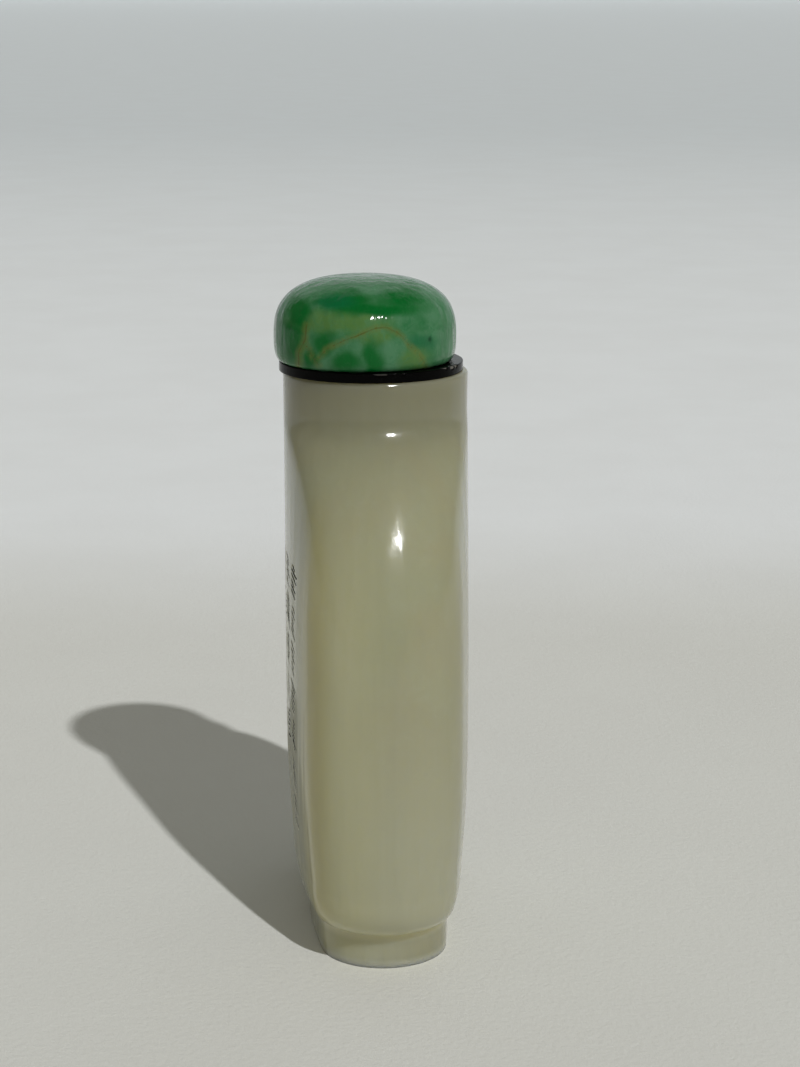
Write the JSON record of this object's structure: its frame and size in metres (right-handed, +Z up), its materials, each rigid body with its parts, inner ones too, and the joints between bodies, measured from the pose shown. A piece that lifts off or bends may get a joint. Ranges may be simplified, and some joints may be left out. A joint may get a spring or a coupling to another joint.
{
  "type": "snuff bottle",
  "caption": "Flattened pale jade snuff bottle with sloping shoulders, round neck and low oval foot, closed by a loose stopper with a thin black collar and a green domed cap.",
  "frame": {"origin": "on the surface the foot stands on, below the axis of the neck", "axes": "+Z up along the neck; X along the bottle's width; Y through its thickness, with the front face at -Y"},
  "size_m": [0.0438, 0.0203, 0.0691],
  "materials": {
    "pale_jade": "polished, translucent",
    "black_collar": "glossy, worn at the rim",
    "green_jade": "polished, mottled"
  },
  "bodies": {
    "root": {"bottle": "pale_jade", "stopper_collar": "black_collar", "stopper_cap": "green_jade"}
  },
  "joints": []
}
